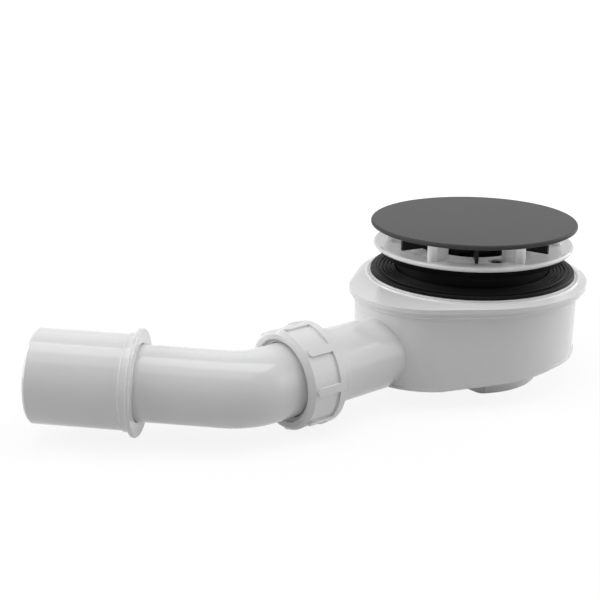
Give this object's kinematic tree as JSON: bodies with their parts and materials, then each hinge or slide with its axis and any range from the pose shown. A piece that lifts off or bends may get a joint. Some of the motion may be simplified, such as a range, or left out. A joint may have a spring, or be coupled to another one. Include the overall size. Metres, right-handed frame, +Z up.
{
  "type": "shower trap",
  "caption": "Low shower trap with a round grey cover on posts, black tray seals, a white lobed body and a swivelling outlet elbow that ends in a pipe sleeve.",
  "frame": {"origin": "on the drain's axis, at the flat underside of the sump that the trap stands on", "axes": "+Z up along the drain's axis, -X along the spigot towards the outlet, +Y to the side that the elbow turns to"},
  "size_m": [0.3253, 0.1609, 0.0921],
  "materials": {
    "grey_cover": "satin anthracite grey",
    "white_plastic": "semi-gloss moulded white",
    "black_plastic": "moulded black, slightly glossy",
    "black_rubber": "smooth satin rubber",
    "grey_plastic": "moulded pale grey",
    "natural_plastic": "natural translucent white",
    "steel": "plain stainless",
    "brass": "machined"
  },
  "bodies": {
    "trap_body": {"cover_plate": "grey_cover", "cover_carrier": "black_plastic", "waste_flange": "white_plastic", "flange_screws": "steel", "thread_inserts": "brass", "upper_seal": "black_rubber", "tray_gasket": "black_rubber", "hair_strainer": "black_plastic", "trap_lid": "white_plastic", "trap_bowl": "white_plastic", "dip_tube": "grey_plastic", "dip_tube_seal": "black_rubber", "water_cup": "grey_plastic", "union_nut": "white_plastic", "cone_seal": "black_rubber", "slip_washer": "natural_plastic"},
    "outlet": {"outlet_elbow": "white_plastic", "reducer_sleeve": "white_plastic", "sleeve_seal": "black_rubber"}
  },
  "joints": [
    {"name": "elbow_swivel", "type": "hinge", "parent": "trap_body", "child": "outlet", "pos_m": [-0.135, 0, 0.028], "axis": [-1, 0, 0], "continuous": true}
  ]
}
